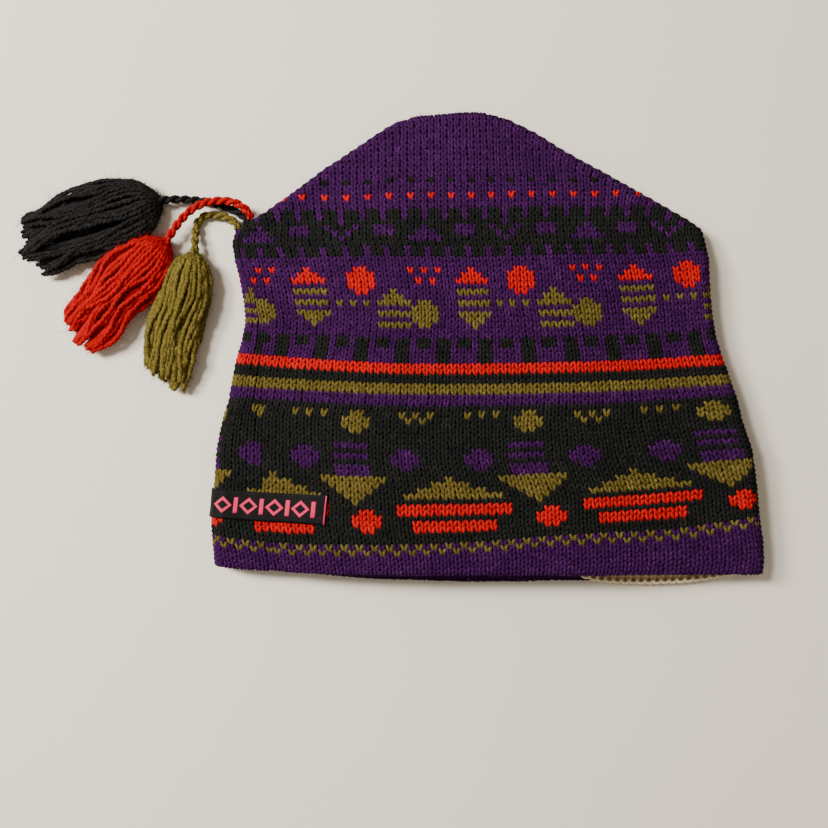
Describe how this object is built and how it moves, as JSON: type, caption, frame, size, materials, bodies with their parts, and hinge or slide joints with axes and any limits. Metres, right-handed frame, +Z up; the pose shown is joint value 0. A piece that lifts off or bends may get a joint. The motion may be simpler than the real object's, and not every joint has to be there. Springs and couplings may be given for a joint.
{
  "type": "knitted wool hat with tassels",
  "caption": "Flat-lying knitted wool hat, closed over a peaked crown and open at the hem, with a lining band, a label patch and corded tassels at one shoulder.",
  "frame": {"origin": "on the surface the hat lies on, under the middle of the hat's own box, without the cords and tassels", "axes": "+X across the hat along its hem, away from the tassels; +Y from the open hem to the closed crown; +Z up from the underside to the front face"},
  "size_m": [0.3425, 0.2169, 0.029],
  "materials": {
    "purple_wool_knit": "matte wool knit, patterned in black, red and olive",
    "cream_wool_knit": "matte fine knit",
    "black_woven_tape": "dull woven tape",
    "black_wool_yarn": "matte twisted wool",
    "red_wool_yarn": "matte twisted wool",
    "olive_wool_yarn": "matte twisted wool"
  },
  "bodies": {
    "root": {"knitted_shell": "purple_wool_knit", "mouth_lining": "cream_wool_knit", "woven_label": "black_woven_tape", "cord_black": "black_wool_yarn", "cord_red": "red_wool_yarn", "cord_olive": "olive_wool_yarn", "tassel_black": "black_wool_yarn", "tassel_red": "red_wool_yarn", "tassel_olive": "olive_wool_yarn"}
  },
  "joints": []
}
